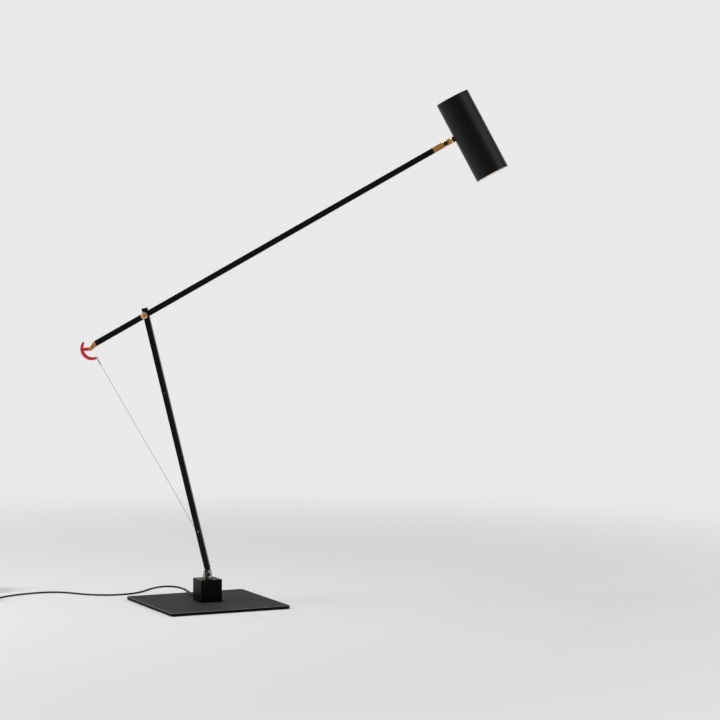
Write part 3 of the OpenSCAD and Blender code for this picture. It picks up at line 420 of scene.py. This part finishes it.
def ease(share):
    share = min(max(share, 0.0), 1.0)
    return share * share * (3 - 2 * share)


def smoothLine(points, between):
    # the points of a smooth curve through given points
    line = []
    for i in range(len(points) - 1):
        a, b, c, d = (points[min(max(i + k, 0), len(points) - 1)] for k in (-1, 0, 1, 2))
        for k in range(between):
            t = k / between
            bend = (2 * a - 5 * b + 4 * c - d) * t * t + (3 * b - a - 3 * c + d) * t ** 3
            line.append(0.5 * (2 * b + (c - a) * t + bend))
    return line + [points[-1]]


def coilLine():
    # the wound part of the cord, layer on layer, and its way down to the supply
    middleX, middleY = coil["middle"]
    halfTurn = coil["perTurn"] // 2
    layerRings = coil["perTurn"] * coil["turns"]
    rings = coil["layers"] * layerRings + (coil["layers"] - 1) * halfTurn
    line = []
    for k in range(1, rings * coil["finer"] + 1):
        i = k / coil["finer"]
        layer = int(i // (layerRings + halfTurn))
        past = i - layer * (layerRings + halfTurn)
        step = min(past, layerRings) / coil["perTurn"]
        radius = coil["outRadius"] - coil["pitch"] * (step if layer % 2 == 0 else coil["turns"] - step)
        angle = -math.tau * i / coil["perTurn"]
        height = coil["rest"] + coil["step"] * (layer + ease((past - layerRings) / halfTurn))
        line.append(Vector((middleX + radius * math.cos(angle), middleY + radius * math.sin(angle), height)))
    top = coil["rest"] + (coil["layers"] - 1) * coil["step"]
    for k in range(1, coil["rampSteps"] + 1):
        share = k / coil["rampSteps"]
        height = top + (coil["rest"] - top) * ease(share)
        line.append(Vector((middleX - coil["outRadius"], middleY + coil["ramp"] * share, height)))
    return line + [Vector(end) for end in coil["end"]]


baseTurned = Matrix.Rotation(math.radians(stance["base"]), 3, "Z")
exitAt = baseTurned @ Vector(cordLine["exit"])
exitEnd = exitAt + baseTurned @ Vector((0, 1, 0)) * cordLine["stub"]
handPoints = [exitAt, exitEnd] + [Vector(point) for point in cordLine["points"]]
route = [point * 0.001 for point in smoothLine(handPoints, cordLine["between"]) + coilLine()]
cordLength = sum((b - a).length for a, b in zip(route, route[1:]))
cordCurve = bpy.data.curves.new("blackCord", "CURVE")
cordCurve.dimensions = "3D"
cordCurve.bevel_depth = cordLine["diameter"] / 2
cordCurve.bevel_resolution = 2
cordCurve.use_fill_caps = True
spline = cordCurve.splines.new("POLY")
spline.points.add(len(route) - 1)
for spot, at in zip(spline.points, route):
    spot.co = (*at, 1)
spline.use_smooth = True
blackCord = bpy.data.objects.new("blackCord", cordCurve)
blackCord.data.materials.append(finishes["cord"])
bpy.context.scene.collection.objects.link(blackCord)
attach(blackCord, "base")
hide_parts("cord", "cord_coil")

# Plug-in supply at the cord's end
supply = {
    "x": -432, "back": 76, "size": (34, 52, 27), "corner": 4, "cornerSteps": 6, "edge": 1.4, "edgeSteps": 4,
    "seam": 12.6, "near": 0.01, "seamWide": 0.7, "seamDeep": 0.35, "relief": 12, "ribs": 5, "reliefThin": 1.5,
    "reliefThick": 2.6, "clear": 0.02, "pinEdge": 0.6,
}


def supplyShell():
    # rounded block with a parting line round it
    width, depth, height = supply["size"]
    bm = bmesh.new()
    bmesh.ops.create_cube(bm, size=1)
    bmesh.ops.scale(bm, vec=supply["size"], verts=bm.verts)
    rounded(bm, uprights(bm), supply["corner"], supply["cornerSteps"])
    soften(bm, supply["edge"], sharper=60, segments=supply["edgeSteps"])
    bmesh.ops.translate(bm, vec=(0, 0, height / 2), verts=bm.verts)
    for rise in (-1, 0, 1):
        at = supply["seam"] + rise * supply["seamWide"] / 2
        bmesh.ops.bisect_plane(bm, geom=bm.verts[:] + bm.edges[:] + bm.faces[:], plane_co=(0, 0, at),
                               plane_no=(0, 0, 1))
    line = [v for v in bm.verts if abs(v.co.z - supply["seam"]) < supply["near"]]
    shrink = (1 - 2 * supply["seamDeep"] / width, 1 - 2 * supply["seamDeep"] / depth, 1)
    bmesh.ops.scale(bm, vec=shrink, verts=line)
    return bm


sleeveRib = {"share": 0.62, "deep": 0.3, "flank": 0.1, "taper": 0.02}


def ribbed(length, thin, thick, ribs):
    # the profile of a tapered sleeve with ribs, thick end at Z 0
    profile = [(0, 0)]
    pitch = length / ribs
    for k in range(ribs):
        wide = thick + (thin - thick) * k / ribs
        high = (k + 1) * pitch
        ribEnd = high - pitch * (1 - sleeveRib["share"])
        profile += [(wide, k * pitch), (wide - sleeveRib["taper"], ribEnd)]
        if k < ribs - 1:
            floorWide = wide - sleeveRib["deep"]
            profile += [(floorWide, ribEnd + sleeveRib["flank"]), (floorWide, high - sleeveRib["flank"])]
    return profile + [(thin, length), (0, length)]


blockMiddle = (supply["x"] / 1000, (supply["back"] + supply["size"][1] / 2) / 1000, 0)
supplyBlock = finished("supplyBlock", supplyShell(), "supply_housing", millimetres(blockMiddle))
sleeve = turned(ribbed(supply["relief"], supply["reliefThin"], supply["reliefThick"], supply["ribs"]), steps=32)
bmesh.ops.rotate(sleeve, cent=(0, 0, 0), matrix=Matrix.Rotation(quarterTurn, 3, "X"), verts=sleeve.verts)
for v in sleeve.verts:  # its underside is level, just clear of the floor
    lifted = v.co.z + (supply["reliefThick"] - supply["reliefThin"]) * (1 + v.co.y / supply["relief"])
    v.co.z = max(lifted, supply["clear"] - supply["reliefThin"])
sleevePlace = millimetres((supply["x"] / 1000, supply["back"] / 1000, cordLine["diameter"] / 2))
supplySleeve = finished("supplySleeve", sleeve, "supply_relief", sleevePlace)
supplyProngs = finished("supplyProngs", copied("supply_pins", supply["pinEdge"]), "supply_pins")
print("cord laid:", round(cordLength, 3), "m")

# Base
dress({
    "squarePlate": ("base_plate", 0.9),
    "squareBlock": ("base_block", 0.45),
    "swivelBush": ("swivel_bush", 0.15),
    "glandSleeve": ("cord_gland", 0.4),
})
relief = {
    "face": 22, "x": -9, "rise": 11, "length": 20, "thin": 1.8, "thick": 3.0, "ribs": 7, "core": (1.5, -5),
}
coreRadius, coreEnd = relief["core"][0], relief["core"][1] - relief["face"]
sleeve = turned([(0, coreEnd), (coreRadius, coreEnd), (coreRadius, 0)]
                + ribbed(relief["length"], relief["thin"], relief["thick"], relief["ribs"])[1:], steps=48)
finished("cordSleeve", sleeve, "cord_relief",
         shifted(basePlace, relief["x"], relief["face"], relief["rise"], "X", -90))
print("base made")

# Foot, stem and its fittings
dress({
    "footFork": ("foot_fork", 0.45),
    "footScrew": ("foot_screw", 0.2),
    "footNut": ("foot_nut", 0.25),
    "stemTongue": ("stem_foot", 0.35),
    "stemPost": ("stem_tube", 0.12, 40, 2),
    "stemLid": ("stem_cap", 0.45),
    "gapWasher": ("friction_washer", 0.15),
    "nutWasher": ("bolt_washer", 0.15),
    "armNut": ("bolt_nut", 0.3),
})
print("stem made")

# Arm, its forks and the hook
dress({
    "armPost": ("arm_tube", 0.12, 40, 2),
    "tailFork": ("tail_fork", 0.9),
    "hookPin": ("hook_pin", 0.25),
    "redHook": ("wire_hook", 0.75, 30, 4),
    "headFork": ("head_fork", 0.7),
    "headScrew": ("head_screw", 0.2),
    "headNut": ("head_nut", 0.25),
    "knobWasher": ("knob_washer", 0.15),
})
print("arm made")

# Thumb screw: knurled rim, a groove inside it and a low dome
knob = {
    "shank": 2.0, "shankEnd": -19.9, "front": 5.8, "thick": 4.5, "radius": 6.0, "backEdge": (0.3, 0.35),
    "chamfer": 1.5, "groove": (3.7, 3.4), "grooveLean": 0.15, "grooveDeep": 0.5, "dome": 1.0, "domeSunk": 0.1,
    "knurls": 30, "knurlWide": 0.13, "knurlDeep": 0.3, "rim": 0.2, "edge": 0.08,
}


def thumbScrew():
    radius, chamfer, (outer, inner) = knob["radius"], knob["chamfer"], knob["groove"]
    low, high = knob["front"], knob["front"] + knob["thick"]
    bed = high - knob["grooveDeep"]
    bm = turned([
        (0, knob["shankEnd"]), (knob["shank"], knob["shankEnd"]), (knob["shank"], low),
        (radius - knob["backEdge"][0], low), (radius, low + knob["backEdge"][1]), (radius, high - chamfer),
        (radius - chamfer / 3, high - chamfer / 4), (radius - chamfer, high), (outer, high),
        (outer - knob["grooveLean"], bed), (inner, bed), (0, bed)], steps=4 * knob["knurls"])
    for v in bm.verts:
        around = math.degrees(math.atan2(v.co.y, v.co.x)) / (360 / knob["knurls"])
        valley = abs(around - round(around)) < knob["knurlWide"]
        if valley and v.co.xy.length > radius - knob["rim"]:
            v.co.xy *= 1 - knob["knurlDeep"] / radius
    ball = (inner ** 2 + knob["dome"] ** 2) / (2 * knob["dome"])
    domeLow = high - knob["domeSunk"] - ball + knob["dome"]
    reaches = [inner * math.cos(math.radians(angle)) for angle in range(0, 90, 15)] + [0]
    domeTop = [(reach, domeLow + math.sqrt(ball ** 2 - reach ** 2)) for reach in reaches]
    under = high - 2 * knob["grooveDeep"]
    face = turned([(0, under), (inner, under)] + domeTop, steps=64)
    return soften(bm, knob["edge"], sharper=50, segments=2), face


knobRim, knobFace = thumbScrew()
knobPlace = shifted(armPlace, 0, 0, 0, "X", 90)
# the rim is painted paler brass as a painted highlight, and the dome face darker brass as painted shade
finished("thumbKnob", knobRim, "thumb_screw", knobPlace)
finished("thumbFace", knobFace, "thumb_screw", knobPlace, stands=False)
print("thumb screw made")

# Tension wire: loop and crimp on the arm, and a straight run between stem and crimp
wire = {
    "thick": 0.8, "loop": 3.2, "hookThick": 3.0, "toeHole": 2.4, "bow": 18.5, "bowMiddle": (2.5, 1),
    "toeAngle": 297, "pinReach": 14, "armTail": 102, "tailDrop": -16, "guideAt": 78.5, "guideThick": 4,
    "seat": 0.05, "armSwing": 25, "sides": 12, "cuts": 9, "ringSteps": 48,
    "stops": (0, 0.45, 0.7, 0.84, 0.91, 0.95, 0.98, 1),
    "crimp": 7, "crimpThick": 2.4, "crimpWaist": 0.25, "crimpEdge": 0.12,
}
tailPlace = shifted(armPlace, -wire["armTail"], 0, 0, "Y", wire["tailDrop"])
pinAt = tailPlace @ Vector((-wire["pinReach"], 0, 0)) * 1000
toeTurn = math.radians(wire["toeAngle"])
toeAt = pinAt + Vector((wire["bowMiddle"][0] + wire["bow"] * math.cos(toeTurn), 0,
                        wire["bowMiddle"][1] + wire["bow"] * math.sin(toeTurn)))
guideAt = stemPlace @ Vector((0, 0, wire["guideAt"])) * 1000
wrap = wire["guideThick"] / 2 + wire["thick"] / 2 + wire["seat"]
run = Vector((guideAt.x - toeAt.x, guideAt.z - toeAt.z))
wireTurn = math.atan2(run.y, run.x) - math.asin(wrap / run.length)
wireWay = Vector((math.cos(wireTurn), 0, math.sin(wireTurn)))
loopBow = wire["loop"] - math.sqrt(wire["loop"] ** 2 - wire["hookThick"] ** 2 / 4)
loopAt = toeAt + wireWay * (wire["loop"] + (wire["toeHole"] - wire["thick"]) / 2 - loopBow)
wireTop = loopAt + wireWay * wire["loop"]
wireEnd = guideAt + Vector((math.sin(wireTurn), 0, -math.cos(wireTurn))) * wrap
loopPlace = millimetres(loopAt * 0.001, "Y", -math.degrees(wireTurn))


def wireLoop():
    bm = bmesh.new()
    ringPlace = Matrix.Translation((wire["loop"], 0, 0)) @ Matrix.Rotation(quarterTurn, 4, "X")
    bmesh.ops.create_circle(bm, cap_ends=False, radius=wire["thick"] / 2, segments=wire["sides"],
                            matrix=ringPlace)
    return spun(bm, wire["ringSteps"])


def wireCrimp():
    thick = wire["crimpThick"] / 2
    waist = thick - wire["crimpWaist"]
    heights = [(0, thick), (1.6, thick), (2.0, waist), (2.8, waist), (3.2, thick), (4.0, thick), (4.4, waist),
               (5.2, waist), (5.6, thick), (wire["crimp"], thick)]
    bm = turned([(0, 0)] + [(radius, height) for height, radius in heights] + [(0, wire["crimp"])], steps=32)
    return soften(bm, wire["crimpEdge"], segments=2)


finished("wireLoop", wireLoop(), "tension_wire", loopPlace)
crimpPlace = shifted(loopPlace, wire["loop"], 0, 0, "Y", 90)
finished("wireCrimp", wireCrimp(), "tension_wire", crimpPlace, stands=False)

span = wireTop - wireEnd
upWay = span.normalized()
fromArm = wireTop - Vector(armAt) * 1000
lean = -fromArm.dot(upWay)
slide = 2 * math.sin(math.radians(wire["armSwing"] / 2)) * fromArm.cross(upWay).length


def wireShare(at):
    # how far a spot of the wire, from the stem at 0 to the crimp at 1, turns with the arm to stay in line
    fits = lean * at / (lean + span.length * (1 - at))
    return max(fits, 1 - span.length * (1 - at) / slide)


def unease(share):
    return 0.5 - math.sin(math.asin(1 - 2 * share) / 3)


for k, (low, high) in enumerate(zip(wire["stops"], wire["stops"][1:])):
    bm = bmesh.new()
    bmesh.ops.create_cone(bm, cap_ends=True, segments=wire["sides"], radius1=wire["thick"] / 2,
                          radius2=wire["thick"] / 2, depth=span.length * (high - low))
    bmesh.ops.subdivide_edges(bm, edges=uprights(bm), cuts=wire["cuts"], use_grid_fill=False)
    middle = wireEnd + span * (low + high) / 2
    place = millimetres(middle * 0.001, "Y", 90 - math.degrees(math.atan2(span.z, span.x)))
    piece = finished(f"wireRun{k + 1}", bm, "tension_wire", place, stands=False, rides=False)
    first, last = unease(wireShare(low)), unease(wireShare(high))
    reach = (high - low) / (last - first)
    start = low - first * reach
    (wireEnd + span * start) * 0.001
    (wireEnd + span * (start + reach)) * 0.001
    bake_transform(piece)
print("wire strung:", round(span.length), "mm")

# Head: knuckle, collar, shade and what shows of its inside
dress({
    "knuckleTongue": ("head_tongue", 0.6),
    "shadeCollar": ("shade_collar", 0.3),
    "capLid": ("shade_cap", 0.3),
    "capScrews": ("cap_screws", 0.15),
})
shade = {"out": 47, "radius": 30, "wall": 1.2, "top": 65, "bottom": -85, "edge": 0.7, "lip": 0.12}
shadePlace = shifted(millimetres(headAt, "Y", stance["head"]), shade["out"], 0, 0)
outside, inside = shade["radius"], shade["radius"] - shade["wall"]
shadeShell = turned([
    (outside - shade["edge"] / 2, shade["bottom"]), (outside, shade["bottom"] + shade["edge"] / 2),
    (outside, shade["top"] - shade["edge"]), (outside - shade["edge"], shade["top"]),
    (inside, shade["top"]), (inside, shade["bottom"])], steps=160, closed=True)
finished("shadeShell", soften(shadeShell, shade["lip"], segments=4), "shade_tube", shadePlace)
dress({"linerSleeve": ("shade_liner", 0.2), "lensRim": ("lens_ring", 0.3)})

lens = {"radius": 27.9, "face": 26.5, "low": -49, "step": 0.3, "high": -47, "edge": 0.2}
lensDisc = turned([
    (0, lens["high"]), (lens["radius"], lens["high"]), (lens["radius"], lens["low"] + lens["step"]),
    (lens["face"], lens["low"]), (0, lens["low"])], steps=128)
finished("lensDisc", soften(lensDisc, lens["edge"], segments=2), "lens", shadePlace)

button = {
    "radius": 6, "top": 64.5, "dish": 0.5, "dishShare": 0.82, "flange": (7, 57.5, 58.95), "stem": (2, 54.5),
    "edge": 0.35,
}
flange, flangeLow, flangeHigh = button["flange"]
stem, stemLow = button["stem"]
falls = [1 - k / 6 for k in range(7)]
dish = [(button["radius"] * button["dishShare"] * fall, button["top"] - button["dish"] * (1 - fall ** 2))
        for fall in falls]
pressButton = turned([
    (0, stemLow), (stem, stemLow), (stem, flangeLow), (flange, flangeLow), (flange, flangeHigh),
    (button["radius"], flangeHigh), (button["radius"], button["top"])] + dish, steps=64)
finished("pressButton", soften(pressButton, button["edge"], sharper=40), "push_button", shadePlace)
print("head made")

# Floor, light and surroundings
stage = {
    "floor": (0.0, 3.2, 7.0, 4.9), "below": 0.0002, "pale": (0.82, 0.82, 0.815), "dim": 0.11, "front": 0.32,
    "backdrop": 0.82, "brightWay": (0.15, 0.989, 0.0), "fall": (-0.97, -0.6), "rise": (0.72, 0.97),
    "fade": (0.5, 1.9),
}
lamps = [
    {"name": "sideLight", "at": (2.6, -0.3, 1.7), "to": (0.2, 0, 0.6), "size": (2.4, 1.8), "power": 26},
    {"name": "leftLight", "at": (-2.5, -0.9, 1.4), "to": (0.1, 0, 0.5), "size": (1.2, 1.8), "power": 42},
    {"name": "topLight", "at": (-0.6, -0.1, 3.0), "to": (0.1, 0, 0.3), "size": (1.5, 1.2), "power": 46},
]
for lamp in lamps:
    light = bpy.data.lights.new(lamp["name"], "AREA")
    light.shape = "RECTANGLE"
    light.size, light.size_y = lamp["size"]
    light.energy = lamp["power"]
    held = bpy.data.objects.new(lamp["name"], light)
    held.location = lamp["at"]
    held.rotation_euler = (Vector(lamp["to"]) - Vector(lamp["at"])).to_track_quat("-Z", "Y").to_euler()
    held.visible_camera = False
    bpy.context.scene.collection.objects.link(held)

# The surroundings are dim, but bright behind the lamp and softly lit in front
bpy.context.scene.world = bpy.data.worlds.new("studio")
bpy.context.scene.world.use_nodes = True
studio = Shading(bpy.context.scene.world.node_tree)
way = studio.node("ShaderNodeTexCoord", out="Generated")
towards = studio.node("ShaderNodeVectorMath", {"operation": "DOT_PRODUCT"}, {0: way, 1: stage["brightWay"]},
                      out="Value")
ahead = studio.ramp(towards, *stage["fall"], low=stage["front"] - stage["dim"], high=0)
behind = studio.ramp(towards, *stage["rise"], low=stage["dim"], high=stage["backdrop"])
seen = studio.node("ShaderNodeLightPath", out="Is Camera Ray")
through = studio.node("ShaderNodeLightPath", out="Is Transmission Ray")
plain = studio.node("ShaderNodeMath", {"operation": "MAXIMUM"}, {0: seen, 1: through})
strength = (ahead + behind) * (1 - plain) + plain * stage["backdrop"]
sky = studio.node("ShaderNodeBackground", None, {"Color": (1, 1, 1, 1), "Strength": strength})
studio.node("ShaderNodeOutputWorld", None, {"Surface": sky})

# The floor takes shadows near the lamp and fades into the backdrop
floorFinish = Finish("paleFloor")
away = floorFinish.node("ShaderNodeVectorMath", {"operation": "LENGTH"}, {0: floorFinish.place}, out="Value")
far = floorFinish.ramp(away, *stage["fade"])
looked = floorFinish.node("ShaderNodeLightPath", out="Is Camera Ray")
mirrored = floorFinish.node("ShaderNodeLightPath", out="Is Glossy Ray")
matt = floorFinish.node("ShaderNodeBsdfDiffuse", None, {"Color": (*stage["pale"], 1)})
glow = floorFinish.node("ShaderNodeEmission", None, {"Color": (1, 1, 1, 1), "Strength": stage["backdrop"]})
mixed = floorFinish.node("ShaderNodeMixShader", None, {0: far * (looked + mirrored), 1: matt, 2: glow})
floorFinish.node("ShaderNodeOutputMaterial", None, {"Surface": mixed})
bm = bmesh.new()
bmesh.ops.create_grid(bm, x_segments=1, y_segments=1, size=1)
x, y, halfWide, halfDeep = stage["floor"]
floorPlace = Matrix.Translation((x, y, -stage["below"])) @ Matrix.Diagonal((halfWide, halfDeep, 1, 1))
bmesh.ops.transform(bm, matrix=floorPlace, verts=bm.verts)
floorMesh = bpy.data.meshes.new("floor")
bm.to_mesh(floorMesh)
bm.free()
floorMesh.materials.append(floorFinish.material)
floor = bpy.data.objects.new("floor", floorMesh)
bpy.context.scene.collection.objects.link(floor)
print("stage set")
